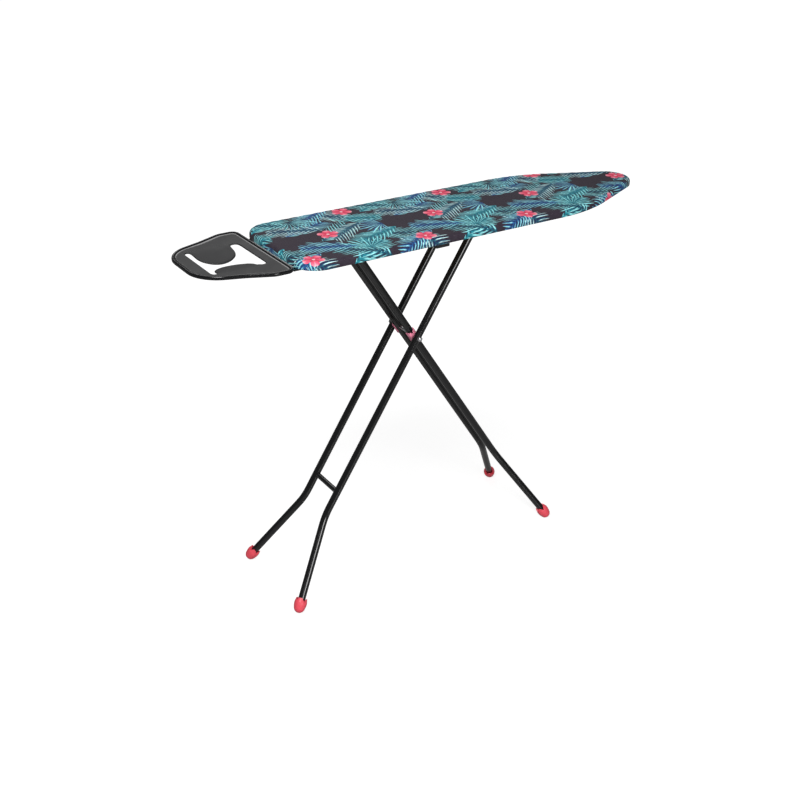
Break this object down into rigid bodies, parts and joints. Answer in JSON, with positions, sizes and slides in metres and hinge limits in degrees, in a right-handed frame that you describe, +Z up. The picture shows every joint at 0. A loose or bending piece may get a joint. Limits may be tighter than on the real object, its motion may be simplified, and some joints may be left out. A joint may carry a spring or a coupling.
{
  "type": "ironing board",
  "caption": "Folding ironing board on crossed tube legs, with a padded printed cover, tapered nose, side height lever and an open iron tray at the wide end.",
  "frame": {"origin": "on the floor, at the centre of the board and tray's bounding box", "axes": "+X runs along the board towards its nose, +Y across it, +Z up"},
  "size_m": [1.3067, 0.324, 0.934],
  "materials": {
    "printed_cotton": "cotton cloth printed with palm leaves and pink blossoms on a dark ground",
    "foam": "open-cell foam felt",
    "chipboard": "pressed chipboard, unpainted",
    "tray_plastic": "black heat-proof moulding, fine satin grain",
    "coral_plastic": "soft coral moulding",
    "pink_plastic": "pink moulded nylon",
    "black_plastic": "black moulded plastic",
    "nylon": "natural nylon",
    "bright_zinc": "bright zinc plate",
    "black_enamel": "gloss black stove enamel on steel"
  },
  "bodies": {
    "board": {"cover": "printed_cotton", "foam_pad": "foam", "deck_panel": "chipboard", "hinge_bracket": "black_enamel", "hinge_screws": "bright_zinc", "rack_channel": "black_enamel", "rack_screws": "bright_zinc", "iron_tray": "tray_plastic", "tray_arm_near": "black_enamel", "tray_arm_far": "black_enamel", "arm_screws": "bright_zinc", "tray_screws": "bright_zinc", "lever_pin": "bright_zinc", "lever_spring": "bright_zinc"},
    "inner_leg": {"inner_tube_near": "black_enamel", "inner_tube_far": "black_enamel", "hinge_axle": "bright_zinc", "hinge_washers": "nylon", "inner_tube_plugs": "black_plastic", "inner_foot_near": "coral_plastic", "inner_foot_far": "coral_plastic", "pivot_spacer_near": "pink_plastic", "pivot_spacer_far": "pink_plastic"},
    "outer_leg": {"outer_tube_near": "black_enamel", "outer_tube_far": "black_enamel", "outer_crossbar": "black_enamel", "outer_top_bar": "black_enamel", "bar_collars": "nylon", "outer_tube_plugs": "black_plastic", "outer_foot_near": "coral_plastic", "outer_foot_far": "coral_plastic", "pivot_rod": "bright_zinc", "pivot_nuts": "bright_zinc"},
    "height_lever": {"lever_plate": "black_enamel", "lever_grip": "black_plastic"}
  },
  "joints": [
    {"name": "leg_fold", "type": "hinge", "parent": "board", "child": "inner_leg", "pos_m": [-0.23197, 0, 0.89696], "axis": [0, 1, 0], "range_deg": [-55, 0]},
    {"name": "leg_cross", "type": "hinge", "parent": "inner_leg", "child": "outer_leg", "pos_m": [-0.0625, 0, 0.635], "axis": [0, 1, 0], "range_deg": [0, 110]},
    {"name": "lever_turn", "type": "hinge", "parent": "board", "child": "height_lever", "pos_m": [0.045, -0.0435, 0.9105], "axis": [0, 0, 1], "range_deg": [0, 12], "stiffness_Nm_per_rad": 1, "springref_deg": -8.59}
  ],
  "couplings": [
    {"joint": "leg_cross", "follows": "leg_fold", "ratio": -2}
  ]
}
